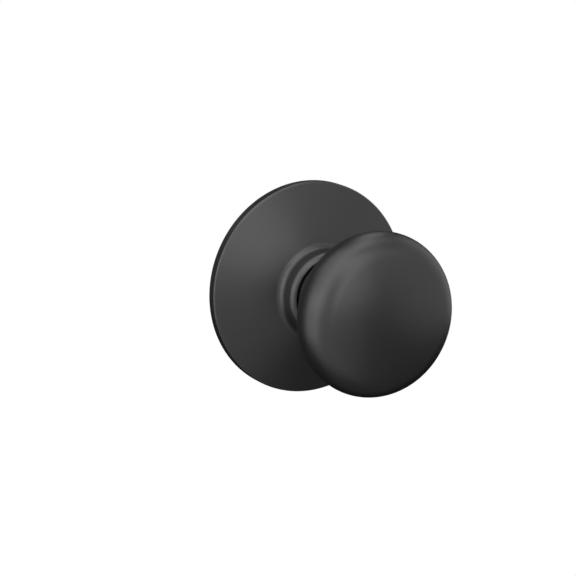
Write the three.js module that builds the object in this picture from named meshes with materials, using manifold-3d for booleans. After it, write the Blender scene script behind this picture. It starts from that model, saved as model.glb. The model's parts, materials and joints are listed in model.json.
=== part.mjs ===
// The outside half of a passage door knob set: a round hollow knob on a short neck, a conical rose,
// and the sprung spindle mechanism that the rose covers. Millimetres, +Z up. The door face is the plane
// y = 0, the knob points along -Y, and the origin is where the spindle's axis crosses the door face.
// Profiles are lists of [radius, height], and height is the distance out from the door face, so y = -height.
import * as THREE from "three";
import { mergeVertices } from "three/addons/utils/BufferGeometryUtils.js";
import Module from "manifold-3d";

const wasm = await Module();
wasm.setup();

const radians = THREE.MathUtils.degToRad;

// Driving dimensions: the sizes a buyer would measure.
const ROSE_RADIUS = 35;
const RIM_HEIGHT = 3.3;
const CONE_DEGREES = 20;
const COLLAR_RADIUS = 14.4;
const COLLAR_TOP = 17.9;
const KNOB_RADIUS = 26.1;
const KNOB_PROJECTION = 58.1;
const SHOULDER_RADIUS = 10;
const DOME_DEGREES = 20;
const SHEET = 0.9;
const SHANK_RADIUS = 12;
const SPINDLE_RADIUS = 8.5;
const BAR_RADIUS = 4;
const PLATE_RADIUS = 31.4;
const PLATE_THICKNESS = 1.6;
const POST_SPACING = 38.1;
const TURN_DEGREES = 70;

// Clearances: pieces that turn on each other, pieces that only lie together, and loose fits.
const RUNNING_GAP = 0.1;
const SEAT_GAP = 0.1;
const FITTING_GAP = 0.3;

// Worked out: the knob. Its face is a shallow dome that meets the shoulder without an edge.
const CONE_SLOPE = Math.tan(radians(CONE_DEGREES));
const SHOULDER_CENTRE = KNOB_RADIUS - SHOULDER_RADIUS;
const DOME_RADIUS = SHOULDER_CENTRE / Math.sin(radians(DOME_DEGREES)) + SHOULDER_RADIUS;
const DOME_RISE = DOME_RADIUS - (DOME_RADIUS - SHOULDER_RADIUS) * Math.cos(radians(DOME_DEGREES));
const KNOB_MIDDLE = KNOB_PROJECTION - DOME_RISE;
const NECK_START = COLLAR_TOP + 1.7;
const NECK_RADIUS = SHANK_RADIUS + SHEET;
const FLARE_RADIUS = 16;
const NECK_FIT = SHANK_RADIUS - 0.4;
const SHANK_FRONT = KNOB_MIDDLE - 0.4;
const CATCH_HEIGHT = NECK_START + 4.4;

// Worked out: the stack of pieces on the spindle, from the door face outwards.
const DRIVER_REAR = PLATE_THICKNESS + 0.7;
const DRIVER_FRONT = DRIVER_REAR + 1.2;
const FLANGE_REAR = DRIVER_FRONT + SEAT_GAP;
const FLANGE_FRONT = FLANGE_REAR + 1;
const CAGE_REAR = PLATE_THICKNESS + SEAT_GAP;
const CAGE_WALL = 7;
const CAGE_FRONT = CAGE_WALL + 1.4;
const WASHER_REAR = CAGE_FRONT + SEAT_GAP;
const WASHER_FRONT = WASHER_REAR + 0.5;
const RING_REAR = WASHER_FRONT + SEAT_GAP;
const RING_FRONT = RING_REAR + 0.8;
const SHANK_REAR = RING_FRONT + 0.6;
const SPINDLE_FRONT = 40;
const SPINDLE_BORE = SPINDLE_RADIUS - 1.4;
const BUSH_SEAT = SPINDLE_RADIUS + 1.4;
const CAGE_INNER = 13.4;
const CAGE_OUTER = CAGE_INNER + 1.4;
const POST_TIP = -16;
const CAGE_SCREW_CIRCLE = 20;
const CAGE_SCREW_ANGLES = { cage_screw_right: 30, cage_screw_top: 90, cage_screw_left: 150 };
const CAGE_HOLE = 1.7;

const SEGMENTS = 40;
const SMALL_SEGMENTS = 20;

// ---------------------------------------------------------------- shapes

// Points on an arc about [radius, height], with the angle turning from outwards to forwards.
function arc(centre, radius, fromDegrees, toDegrees, steps) {
  const points = [];
  for (let i = 0; i <= steps; i++) {
    const angle = radians(fromDegrees + ((toDegrees - fromDegrees) * i) / steps);
    points.push([centre[0] + radius * Math.cos(angle), centre[1] + radius * Math.sin(angle)]);
  }
  return points;
}

// The rectangle between two radii and two heights, as a closed profile.
function band(innerRadius, outerRadius, rear, front) {
  return [
    [innerRadius, rear],
    [outerRadius, rear],
    [outerRadius, front],
    [innerRadius, front],
  ];
}

// A profile turned about the knob's axis. It starts and ends on the axis, or closes on itself.
function revolve(profile, segments = SEGMENTS) {
  const points = profile.map(([radius, height]) => new THREE.Vector2(radius, -height));
  if (THREE.ShapeUtils.area(points) < 0) points.reverse();
  if (points[0].x > 0) points.push(points[0].clone());
  return new THREE.LatheGeometry(points, segments);
}

// A flat shape drawn with x across and z up, as seen from the knob's side, thickened from rear to front.
function plate(shape, rear, front, curveSegments = SMALL_SEGMENTS) {
  const geometry = new THREE.ExtrudeGeometry(shape, {
    depth: front - rear,
    bevelEnabled: false,
    curveSegments,
  });
  geometry.rotateX(Math.PI / 2);
  geometry.translate(0, -rear, 0);
  return geometry;
}

function discShape(radius, x = 0, z = 0) {
  const shape = new THREE.Shape();
  shape.absarc(x, z, radius, 0, 2 * Math.PI, false);
  return shape;
}

function rectangleShape(x0, x1, z0, z1) {
  const shape = new THREE.Shape();
  shape.moveTo(x0, z0);
  shape.lineTo(x1, z0);
  shape.lineTo(x1, z1);
  shape.lineTo(x0, z1);
  return shape;
}

// The part of a ring between two angles about +X.
function sectorShape(innerRadius, outerRadius, fromDegrees, toDegrees) {
  const shape = new THREE.Shape();
  shape.absarc(0, 0, outerRadius, radians(fromDegrees), radians(toDegrees), false);
  shape.absarc(0, 0, innerRadius, radians(toDegrees), radians(fromDegrees), true);
  return shape;
}

// The segment of a disc that lies below a level chord.
function segmentShape(radius, chord) {
  const angle = Math.asin(chord / radius);
  const shape = new THREE.Shape();
  shape.absarc(0, 0, radius, Math.PI - angle, 2 * Math.PI + angle, false);
  return shape;
}

// A slot with round ends, lying level.
function slotShape(z, halfLength, radius) {
  const shape = new THREE.Shape();
  shape.absarc(halfLength, z, radius, -Math.PI / 2, Math.PI / 2, false);
  shape.absarc(-halfLength, z, radius, Math.PI / 2, 1.5 * Math.PI, false);
  return shape;
}

// A round wire along a list of points.
function wire(points, wireRadius, steps, sides) {
  const outline = new THREE.Shape();
  for (let i = 0; i < sides; i++) {
    const angle = (2 * Math.PI * i) / sides;
    const [x, y] = [wireRadius * Math.cos(angle), wireRadius * Math.sin(angle)];
    if (i === 0) outline.moveTo(x, y);
    else outline.lineTo(x, y);
  }
  const path = new THREE.CatmullRomCurve3(points, false, "centripetal");
  return new THREE.ExtrudeGeometry(outline, { steps, extrudePath: path, bevelEnabled: false });
}

// ---------------------------------------------------------------- cutting and joining

function solid(geometry) {
  const bare = geometry.clone();
  bare.deleteAttribute("normal");
  bare.deleteAttribute("uv");
  const merged = mergeVertices(bare, 1e-4);
  return new wasm.Manifold(
    new wasm.Mesh({
      numProp: 3,
      vertProperties: merged.attributes.position.array,
      triVerts: new Uint32Array(merged.index.array),
    }),
  );
}

function cut(body, ...tools) {
  return tools.reduce((rest, tool) => rest.subtract(solid(tool)), body);
}

function geometryOf(body) {
  const mesh = body.getMesh();
  const geometry = new THREE.BufferGeometry();
  geometry.setAttribute("position", new THREE.BufferAttribute(mesh.vertProperties, 3));
  geometry.setIndex(new THREE.BufferAttribute(mesh.triVerts, 1));
  geometry.computeVertexNormals();
  return geometry;
}

// A round tool along the knob's axis at [x, z], long enough to pass through any plate or wall.
function drill(radius, [x, z], curveSegments = 8) {
  return plate(discShape(radius, x, z), -2, CAGE_FRONT + 2, curveSegments);
}

// The place [x, z] at a radius and an angle about +X.
function polar(radius, degrees) {
  return [radius * Math.cos(radians(degrees)), radius * Math.sin(radians(degrees))];
}

// ---------------------------------------------------------------- finishes

function finish(color, roughness, metalness) {
  return new THREE.MeshStandardMaterial({ color, roughness, metalness });
}

const finishes = {
  matteBlack: () => finish(0x2c2c2c, 0.5, 0.3),
  zincPlate: () => finish(0xb4b5b2, 0.4, 0.9),
  diecast: () => finish(0x9a9b9c, 0.55, 0.8),
  springSteel: () => finish(0x6f7073, 0.35, 0.95),
  acetal: () => finish(0xe4e1d8, 0.6, 0),
  blackNylon: () => finish(0x1c1c1c, 0.6, 0),
};

const knob = new THREE.Group();

function add(name, geometry, finishName) {
  const mesh = new THREE.Mesh(geometry, finishes[finishName]());
  mesh.name = name;
  knob.add(mesh);
}

// ---------------------------------------------------------------- rose: the conical cover and its fittings

const LIP_BORE = SHANK_RADIUS + 0.7;
const THROAT_TOP = COLLAR_TOP - 1.9;
const COLLAR_INSIDE = COLLAR_RADIUS - SHEET;

function coneHeight(radius) {
  return RIM_HEIGHT + (ROSE_RADIUS - radius) * CONE_SLOPE;
}

// The outside of the rose, from the door face up the rim, over the cone and up the collar to its lip.
function roseOutside() {
  const edge = 0.8;
  const fillet = 2.8;
  const lip = 2.4;
  const bead = 0.15;
  const tilt = Math.cos(radians(CONE_DEGREES));
  const filletRadius = COLLAR_RADIUS + fillet;
  const filletHeight = coneHeight(filletRadius) + fillet / tilt;
  const edgeHeight = coneHeight(ROSE_RADIUS - edge) - edge / tilt;
  const lipRadius = COLLAR_RADIUS - lip;
  const lipEnd = Math.acos((LIP_BORE + bead - lipRadius) / lip);
  const lipHeight = COLLAR_TOP - lip * Math.sin(lipEnd);
  return [
    [ROSE_RADIUS, 0],
    ...arc([ROSE_RADIUS - edge, edgeHeight], edge, 0, 90 - CONE_DEGREES, 3),
    ...arc([filletRadius, filletHeight], fillet, 270 - CONE_DEGREES, 180, 5),
    ...arc([lipRadius, lipHeight], lip, 0, THREE.MathUtils.radToDeg(lipEnd), 5),
    ...arc([LIP_BORE + bead, COLLAR_TOP - bead], bead, 90, 180, 2).slice(1),
  ];
}

// The inside of the rose, from the lip down the collar and the cone to the door face.
function roseInside() {
  const bend = 2.2;
  const wall = SHEET / Math.cos(radians(CONE_DEGREES));
  const rimInside = ROSE_RADIUS - SHEET;
  const bendHeight = coneHeight(COLLAR_INSIDE + bend) - wall;
  return [
    [LIP_BORE, THROAT_TOP],
    [COLLAR_INSIDE, THROAT_TOP],
    [COLLAR_INSIDE, bendHeight + bend],
    [COLLAR_INSIDE + bend, bendHeight],
    [rimInside, coneHeight(rimInside) - wall],
    [rimInside, 0],
  ];
}

function buildRose() {
  add("rose", revolve([...roseOutside(), ...roseInside()]), "matteBlack");
}

// A nylon ring that grips the edge of the mounting plate and holds the rose on.
function buildRoseLiner() {
  const [rear, front] = [0.3, 2.2];
  const outer = ROSE_RADIUS - SHEET - FITTING_GAP;
  add("rose_liner", revolve(band(PLATE_RADIUS + FITTING_GAP, outer, rear, front)), "blackNylon");
}

// A nylon ring that keeps the collar centred on the turning shank.
function buildCollarBush() {
  const length = 3.2;
  const front = THROAT_TOP - FITTING_GAP;
  const inner = SHANK_RADIUS + 0.25;
  const outer = COLLAR_INSIDE - 0.15;
  add("collar_bush", revolve(band(inner, outer, front - length, front)), "blackNylon");
}

// ---------------------------------------------------------------- knob: shell, liner, shank and catch

// The knob's profile at a depth below its surface, from the open end of its neck to the middle of its face.
function knobProfile(depth, flareSteps, shoulderSteps, domeSteps) {
  const flareCentre = NECK_RADIUS + FLARE_RADIUS;
  const across = flareCentre - SHOULDER_CENTRE;
  const reach = FLARE_RADIUS + SHOULDER_RADIUS;
  const flareHeight = KNOB_MIDDLE - Math.sqrt(reach * reach - across * across);
  const turn = THREE.MathUtils.radToDeg(Math.asin((KNOB_MIDDLE - flareHeight) / reach));
  const domeEdge = 90 - DOME_DEGREES;
  const domeCentre = [0, KNOB_PROJECTION - DOME_RADIUS];
  return [
    [NECK_RADIUS - depth, NECK_START],
    ...arc([flareCentre, flareHeight], FLARE_RADIUS + depth, 180, 180 - turn, flareSteps),
    ...arc([SHOULDER_CENTRE, KNOB_MIDDLE], SHOULDER_RADIUS - depth, -turn, domeEdge, shoulderSteps).slice(1),
    ...arc(domeCentre, DOME_RADIUS - depth, domeEdge, 90, domeSteps).slice(1, -1),
    [0, KNOB_PROJECTION - depth],
  ];
}

function buildShell() {
  const outside = knobProfile(0, 5, 11, 4);
  const inside = knobProfile(SHEET, 3, 6, 2);
  const holeRadius = 1.7;
  const releaseHole = new THREE.CylinderGeometry(holeRadius, holeRadius, 4 * SHEET, SMALL_SEGMENTS);
  releaseHole.rotateX(Math.PI / 2);
  releaseHole.translate(0, -CATCH_HEIGHT, -NECK_RADIUS);
  const shell = solid(revolve([...outside, ...inside.reverse()]));
  add("knob_shell", geometryOf(cut(shell, releaseHole)), "matteBlack");
}

const LINER_GROOVE_FRONT = SHANK_FRONT - 0.6;
const LINER_RING_THICKNESS = 0.8;
const LINER_FRONT = LINER_GROOVE_FRONT - LINER_RING_THICKNESS - 0.3;

// A dished disc that braces the shell at its widest, seated on the end of the shank.
function buildLiner() {
  const wall = 1.3;
  const hub = NECK_FIT + FITTING_GAP;
  const hubLength = 5.4;
  const rim = KNOB_RADIUS - SHEET - 2 * FITTING_GAP;
  const rimRear = KNOB_MIDDLE - 2.4;
  const rimFront = KNOB_MIDDLE - 0.5;
  const liner = [
    [hub, LINER_FRONT - hubLength],
    [hub + wall, LINER_FRONT - hubLength],
    [hub + wall, LINER_FRONT - wall],
    [rim - 2 * wall, rimFront - wall],
    [rim - wall, rimRear - wall],
    [rim, rimRear],
    [rim, rimFront],
    [rim - 1.5 * wall, rimFront],
    [hub + 2 * wall, LINER_FRONT],
    [hub, LINER_FRONT],
  ];
  add("knob_liner", revolve(liner), "zincPlate");
}

// An open spring ring in the shank's groove, in front of the liner.
function buildLinerRing() {
  const [inner, outer, gapHalf] = [NECK_FIT - 0.5, NECK_FIT + 1.6, 25];
  const ring = sectorShape(inner, outer, 90 + gapHalf, 450 - gapHalf);
  const front = LINER_GROOVE_FRONT - SEAT_GAP;
  add("liner_ring", plate(ring, front - LINER_RING_THICKNESS, front), "springSteel");
}

const KEY_HALF = 1.2;
const KEY_REAR = 29;
const KEY_LENGTH = 8;
const CATCH_HALF = 1.6;
const CATCH_LENGTH = 4;

// The sleeve that carries the knob. A key inside it turns the spindle, and a slot takes the catch.
function buildShank() {
  const bore = SPINDLE_RADIUS + FITTING_GAP;
  const step = NECK_START - 0.2;
  const grooveFloor = NECK_FIT - 0.8;
  const grooveRear = LINER_GROOVE_FRONT - LINER_RING_THICKNESS - 2 * SEAT_GAP;
  const chamfer = 0.5;
  const sleeve = revolve([
    [bore, SHANK_REAR],
    [SHANK_RADIUS - chamfer, SHANK_REAR],
    [SHANK_RADIUS, SHANK_REAR + chamfer],
    [SHANK_RADIUS, step],
    [NECK_FIT, step],
    [NECK_FIT, grooveRear],
    [grooveFloor, grooveRear],
    [grooveFloor, LINER_GROOVE_FRONT],
    [NECK_FIT, LINER_GROOVE_FRONT],
    [NECK_FIT, SHANK_FRONT],
    [bore, SHANK_FRONT],
  ]);
  const keyRoot = bore + 1.2;
  const keyTop = SPINDLE_BORE + 0.4;
  const key = plate(rectangleShape(-KEY_HALF, KEY_HALF, keyTop, keyRoot), KEY_REAR, KEY_REAR + KEY_LENGTH);
  const slotHalf = CATCH_HALF + FITTING_GAP;
  const slotReach = CATCH_LENGTH / 2 + FITTING_GAP;
  const slot = rectangleShape(-slotHalf, slotHalf, -SHANK_RADIUS - 2, -SPINDLE_BORE);
  const slotTool = plate(slot, CATCH_HEIGHT - slotReach, CATCH_HEIGHT + slotReach);
  add("knob_shank", geometryOf(cut(solid(sleeve).add(solid(key)), slotTool)), "matteBlack");
}

const CATCH_FOOT_TOP = -5;

// A sprung plunger through the spindle's wall. Pressing it in frees the knob from the spindle.
function buildCatch() {
  const tip = -(NECK_FIT - FITTING_GAP);
  const footHalf = 2 * CATCH_HALF;
  const footBottom = CATCH_FOOT_TOP - 1.2;
  const round = 0.8;
  const outline = new THREE.Shape();
  outline.moveTo(-footHalf, footBottom);
  outline.lineTo(-CATCH_HALF, footBottom);
  outline.absarc(-CATCH_HALF + round, tip + round, round, Math.PI, 1.5 * Math.PI, false);
  outline.absarc(CATCH_HALF - round, tip + round, round, 1.5 * Math.PI, 2 * Math.PI, false);
  outline.lineTo(CATCH_HALF, footBottom);
  outline.lineTo(footHalf, footBottom);
  outline.lineTo(footHalf, CATCH_FOOT_TOP);
  outline.lineTo(-footHalf, CATCH_FOOT_TOP);
  const half = CATCH_LENGTH / 2;
  add("knob_catch", plate(outline, CATCH_HEIGHT - half, CATCH_HEIGHT + half, 3), "springSteel");
}

// The catch's compression spring, standing on its foot and reaching the far wall of the spindle.
function buildCatchSpring() {
  const [coilRadius, wireRadius, turns, perTurn] = [1.75, 0.25, 6, 8];
  const low = CATCH_FOOT_TOP + wireRadius + 0.05;
  const high = SPINDLE_BORE - 0.8;
  const points = [];
  for (let i = 0; i <= turns * perTurn; i++) {
    const angle = (2 * Math.PI * i) / perTurn;
    const height = CATCH_HEIGHT - coilRadius * Math.sin(angle);
    const z = low + ((high - low) * i) / (turns * perTurn);
    points.push(new THREE.Vector3(coilRadius * Math.cos(angle), -height, z));
  }
  add("catch_spring", wire(points, wireRadius, turns * perTurn, 5), "springSteel");
}

// ---------------------------------------------------------------- spindle: tube, drive bar and driver

const FLAT_REACH = SPINDLE_RADIUS - 0.9;
const BAR_FLAT = -0.2 * BAR_RADIUS;
const END_THICKNESS = 2;
const BAR_HEAD_THICKNESS = 1.8;
const RETAINER_REAR = END_THICKNESS + BAR_HEAD_THICKNESS + 2 * FITTING_GAP;

// Two tools that leave flats at x = +reach and x = -reach, as far forward as the driver.
function flatTools(reach) {
  const wide = 2 * SPINDLE_RADIUS;
  return [
    plate(rectangleShape(reach, wide, -wide, wide), -1, FLANGE_REAR),
    plate(rectangleShape(-wide, -reach, -wide, wide), -1, FLANGE_REAR),
  ];
}

function buildSpindleTube() {
  const flange = SPINDLE_RADIUS + 1.5;
  const groove = SPINDLE_RADIUS - 0.5;
  const chamfer = 0.6;
  const tube = revolve([
    [0, 0],
    [SPINDLE_RADIUS, 0],
    [SPINDLE_RADIUS, FLANGE_REAR],
    [flange, FLANGE_REAR],
    [flange, FLANGE_FRONT],
    [SPINDLE_RADIUS, FLANGE_FRONT],
    [SPINDLE_RADIUS, RING_REAR - SEAT_GAP],
    [groove, RING_REAR - SEAT_GAP],
    [groove, RING_FRONT + SEAT_GAP],
    [SPINDLE_RADIUS, RING_FRONT + SEAT_GAP],
    [SPINDLE_RADIUS, SPINDLE_FRONT - chamfer],
    [SPINDLE_RADIUS - chamfer, SPINDLE_FRONT],
    [SPINDLE_BORE, SPINDLE_FRONT],
    [SPINDLE_BORE, END_THICKNESS],
    [0, END_THICKNESS],
  ]);
  const barSlot = plate(segmentShape(BAR_RADIUS + 0.25, BAR_FLAT + FITTING_GAP), -1, 2 * END_THICKNESS);
  const windowHalf = CATCH_HALF + 0.2;
  const windowReach = CATCH_LENGTH / 2 + 0.2;
  const catchWindow = plate(
    rectangleShape(-windowHalf, windowHalf, -SHANK_RADIUS, -SPINDLE_BORE / 2),
    CATCH_HEIGHT - windowReach,
    CATCH_HEIGHT + windowReach,
  );
  const keyHalf = KEY_HALF + FITTING_GAP;
  const keySlot = plate(
    rectangleShape(-keyHalf, keyHalf, SPINDLE_BORE / 2, SHANK_RADIUS),
    KEY_REAR - FITTING_GAP,
    SPINDLE_FRONT + 1,
  );
  const body = cut(solid(tube), barSlot, catchWindow, keySlot, ...flatTools(FLAT_REACH));
  add("spindle_tube", geometryOf(body), "zincPlate");
}

// A half-round bar that turns the latch. It reaches as far behind the door face as the knob stands out.
function buildDriveBar() {
  const headRear = END_THICKNESS + FITTING_GAP;
  const headFront = headRear + BAR_HEAD_THICKNESS;
  const headReach = 2.2;
  const bar = plate(segmentShape(BAR_RADIUS, BAR_FLAT), -KNOB_PROJECTION, headFront, 10);
  const head = plate(segmentShape(BAR_RADIUS + headReach, BAR_FLAT), headRear, headFront, 10);
  add("drive_bar", geometryOf(solid(bar).add(solid(head))), "zincPlate");
}

// A plug pressed into the spindle tube, in front of the drive bar's head.
function buildBarRetainer() {
  const [length, chamfer] = [2.6, 0.4];
  const radius = SPINDLE_BORE - 0.2;
  const plug = [
    [0, RETAINER_REAR],
    [radius, RETAINER_REAR],
    [radius, RETAINER_REAR + length - chamfer],
    [radius - chamfer, RETAINER_REAR + length],
    [0, RETAINER_REAR + length],
  ];
  add("bar_retainer", revolve(plug, SMALL_SEGMENTS), "acetal");
}

const LUG_HALF_DEGREES = 7;
const SPRING_RADIUS = 11.7;
const SPRING_WIRE = 0.45;
const SPRING_TURNS = 2.25;
const TANG_HOLE = SPRING_WIRE + 0.25;
const DRIVER_TANG_DEGREES = 90;
const CAGE_TANG_DEGREES = DRIVER_TANG_DEGREES + 360 * SPRING_TURNS;

// The keyed disc that winds the return spring. Its lug meets the ends of the cage's window.
function buildDriver() {
  const disc = CAGE_INNER - 0.4;
  const lugReach = CAGE_OUTER + 0.6;
  const [from, to] = [270 - LUG_HALF_DEGREES, 270 + LUG_HALF_DEGREES];
  const round = solid(plate(discShape(disc), DRIVER_REAR, DRIVER_FRONT));
  const lug = solid(plate(sectorShape(disc - 1, lugReach, from, to), DRIVER_REAR, DRIVER_FRONT, 4));
  const slip = 0.15;
  const bore = drill(SPINDLE_RADIUS + slip, [0, 0], SMALL_SEGMENTS);
  const keyed = cut(solid(bore), ...flatTools(FLAT_REACH + slip));
  const tangHole = drill(TANG_HOLE, polar(SPRING_RADIUS, DRIVER_TANG_DEGREES));
  add("spring_driver", geometryOf(cut(round.add(lug).subtract(keyed), tangHole)), "zincPlate");
}

// A torsion spring. One tang is held in the driver and the other in the front wall of the cage.
function buildReturnSpring() {
  const rear = DRIVER_FRONT + 0.65;
  const front = CAGE_WALL - 0.65;
  const perTurn = 16;
  const steps = SPRING_TURNS * perTurn;
  const at = (degrees, height) => {
    const [x, z] = polar(SPRING_RADIUS, degrees);
    return new THREE.Vector3(x, -height, z);
  };
  const bend = 0.45;
  const points = [at(DRIVER_TANG_DEGREES, DRIVER_REAR + 0.1), at(DRIVER_TANG_DEGREES, DRIVER_FRONT + bend)];
  for (let i = 1; i < steps; i++) {
    const share = i / steps;
    const degrees = DRIVER_TANG_DEGREES + 360 * SPRING_TURNS * share;
    points.push(at(degrees, rear + (front - rear) * share));
  }
  points.push(at(CAGE_TANG_DEGREES, CAGE_WALL - bend), at(CAGE_TANG_DEGREES, CAGE_FRONT - 0.3));
  add("return_spring", wire(points, SPRING_WIRE, 2 * steps + perTurn, 5), "springSteel");
}

// ---------------------------------------------------------------- chassis: cage, bearings, plate and posts

// A screw ear of the cage, reaching from its wall round the screw at the given angle.
function earShape(degrees) {
  const ear = 3.4;
  const [x, z] = polar(CAGE_SCREW_CIRCLE, degrees);
  const [rootX, rootZ] = polar(CAGE_INNER + 0.5, degrees);
  const [sideX, sideZ] = polar(ear, degrees + 90);
  const outline = new THREE.Shape();
  outline.moveTo(rootX - sideX, rootZ - sideZ);
  outline.absarc(x, z, ear, radians(degrees - 90), radians(degrees + 90), false);
  outline.lineTo(rootX + sideX, rootZ + sideZ);
  return outline;
}

const EAR_FRONT = CAGE_REAR + 1.4;

// The cast cup that holds the return spring, with three screw ears and a window for the driver's lug.
function buildCage() {
  const chamfer = 0.8;
  const cup = revolve([
    [CAGE_INNER, CAGE_REAR],
    [CAGE_OUTER, CAGE_REAR],
    [CAGE_OUTER, CAGE_FRONT - chamfer],
    [CAGE_OUTER - chamfer, CAGE_FRONT],
    [BUSH_SEAT, CAGE_FRONT],
    [BUSH_SEAT, CAGE_WALL],
    [CAGE_INNER, CAGE_WALL],
  ]);
  const angles = Object.values(CAGE_SCREW_ANGLES);
  const ears = angles.map((degrees) => solid(plate(earShape(degrees), CAGE_REAR, EAR_FRONT, 6)));
  const holes = angles.map((degrees) => drill(CAGE_HOLE, polar(CAGE_SCREW_CIRCLE, degrees)));
  const stop = TURN_DEGREES + LUG_HALF_DEGREES + 0.5;
  const windowShape = sectorShape(CAGE_INNER - 1, CAGE_OUTER + 1, 270 - stop, 270 + stop);
  const window = plate(windowShape, CAGE_REAR - 1, DRIVER_FRONT + FITTING_GAP);
  const tangHole = drill(TANG_HOLE, polar(SPRING_RADIUS, CAGE_TANG_DEGREES));
  const cast = ears.reduce((body, ear) => body.add(ear), solid(cup));
  add("spring_cage", geometryOf(cut(cast, ...holes, window, tangHole)), "diecast");
}

// Two flanged bushes, one in the cage's front wall and one in the mounting plate.
function buildBushes() {
  const bore = SPINDLE_RADIUS + RUNNING_GAP;
  const seat = BUSH_SEAT - 0.15;
  const frontFlange = SPRING_RADIUS - SPRING_WIRE - 0.45;
  const front = [
    [bore, FLANGE_FRONT + SEAT_GAP],
    [frontFlange, FLANGE_FRONT + SEAT_GAP],
    [frontFlange, CAGE_WALL - SEAT_GAP],
    [seat, CAGE_WALL - SEAT_GAP],
    [seat, CAGE_FRONT - SEAT_GAP],
    [bore, CAGE_FRONT - SEAT_GAP],
  ];
  add("front_bush", revolve(front), "acetal");
  const rearFlange = seat + 1.8;
  const setBack = 0.2;
  const rear = [
    [bore, setBack],
    [seat, setBack],
    [seat, PLATE_THICKNESS + SEAT_GAP],
    [rearFlange, PLATE_THICKNESS + SEAT_GAP],
    [rearFlange, DRIVER_REAR - SEAT_GAP],
    [bore, DRIVER_REAR - SEAT_GAP],
  ];
  add("rear_bush", revolve(rear), "acetal");
}

// The washer and the open ring that keep the spindle from being pushed back through the cage.
function buildRetainers() {
  const washer = band(SPINDLE_RADIUS + 0.2, SHANK_RADIUS, WASHER_REAR, WASHER_FRONT);
  add("thrust_washer", revolve(washer), "zincPlate");
  const [inner, outer, gapHalf] = [SPINDLE_RADIUS - 0.35, SPINDLE_RADIUS + 2.1, 32];
  const ring = sectorShape(inner, outer, 270 + gapHalf, 630 - gapHalf);
  add("retaining_ring", plate(ring, RING_REAR, RING_FRONT), "springSteel");
}

const POST_HOLE = 3.3;
const SIDES = { left: -1, right: 1 };

// A pressed disc with a turned-up edge. The posts are riveted in it, and it lies on the door.
function buildMountingPlate() {
  const edge = 1.2;
  const edgeFront = RIM_HEIGHT - 0.1;
  const round = 0.6;
  const pressed = revolve([
    [BUSH_SEAT, 0],
    [PLATE_RADIUS - round, 0],
    ...arc([PLATE_RADIUS - round, round], round, -60, 0, 2),
    [PLATE_RADIUS, edgeFront],
    [PLATE_RADIUS - edge, edgeFront],
    [PLATE_RADIUS - edge, PLATE_THICKNESS],
    [BUSH_SEAT, PLATE_THICKNESS],
  ]);
  const screwHoles = Object.values(CAGE_SCREW_ANGLES).map((degrees) =>
    drill(CAGE_HOLE, polar(CAGE_SCREW_CIRCLE, degrees)),
  );
  const postHoles = Object.values(SIDES).map((side) => drill(POST_HOLE, [(side * POST_SPACING) / 2, 0], 12));
  const [slotPlace, slotHalf, slotRadius] = [25.5, 3, 1.5];
  const slots = [-1, 1].map((side) => plate(slotShape(side * slotPlace, slotHalf, slotRadius), -1, 3, 6));
  const body = cut(solid(pressed), ...screwHoles, ...postHoles, ...slots);
  add("mounting_plate", geometryOf(body), "zincPlate");
}

// A tapped post with a shoulder behind the plate and a riveted head in front of it.
function buildPosts() {
  const tapped = 2.1;
  const shaft = 3.7;
  const shoulder = 4.6;
  const pin = POST_HOLE - 0.2;
  const [headRadius, headHeight, headGap] = [4.1, 0.85, 0.05];
  const shoulderRear = -1.3;
  const blindEnd = -2.5;
  const headSlope = 0.7;
  const chamfer = 0.3;
  const post = [
    [0, PLATE_THICKNESS + headHeight],
    [headRadius - headSlope, PLATE_THICKNESS + headHeight],
    [headRadius, PLATE_THICKNESS + headGap],
    [pin, PLATE_THICKNESS + headGap],
    [pin, -headGap],
    [shoulder, -headGap],
    [shoulder, shoulderRear],
    [shaft, shoulderRear],
    [shaft, POST_TIP + chamfer],
    [shaft - chamfer, POST_TIP],
    [tapped + chamfer, POST_TIP],
    [tapped, POST_TIP + chamfer],
    [tapped, blindEnd],
    [0, blindEnd + 1],
  ];
  for (const [name, side] of Object.entries(SIDES)) {
    const geometry = revolve(post, SMALL_SEGMENTS);
    geometry.translate((side * POST_SPACING) / 2, 0, 0);
    add(`mounting_post_${name}`, geometry, "zincPlate");
  }
}

// Pan head screws with a cross recess, through the cage's ears into the plate.
function buildCageScrews() {
  const [shaft, headRadius, headRound, headHeight] = [1.4, 2.8, 0.8, 1.8];
  const headRear = EAR_FRONT + 0.05;
  const headTop = headRear + headHeight;
  const [tip, chamfer] = [0.2, 0.3];
  const screw = [
    [0, tip],
    [shaft - chamfer, tip],
    [shaft, tip + chamfer],
    [shaft, headRear],
    [headRadius, headRear],
    ...arc([headRadius - headRound, headTop - headRound], headRound, 0, 90, 2),
    [0, headTop],
  ];
  const [long, narrow, depth] = [1.5, 0.35, 1.1];
  const recess = [
    plate(rectangleShape(-long, long, -narrow, narrow), headTop - depth, headTop + 1),
    plate(rectangleShape(-narrow, narrow, -long, long), headTop - depth, headTop + 1),
  ];
  const body = cut(solid(revolve(screw, SMALL_SEGMENTS)), ...recess);
  for (const [name, degrees] of Object.entries(CAGE_SCREW_ANGLES)) {
    const [x, z] = polar(CAGE_SCREW_CIRCLE, degrees);
    const geometry = geometryOf(body);
    geometry.translate(x, 0, z);
    add(name, geometry, "zincPlate");
  }
}

buildRose();
buildRoseLiner();
buildCollarBush();
buildShell();
buildLiner();
buildLinerRing();
buildShank();
buildCatch();
buildCatchSpring();
buildSpindleTube();
buildDriveBar();
buildBarRetainer();
buildDriver();
buildReturnSpring();
buildCage();
buildBushes();
buildRetainers();
buildMountingPlate();
buildPosts();
buildCageScrews();

export default knob;
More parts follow.
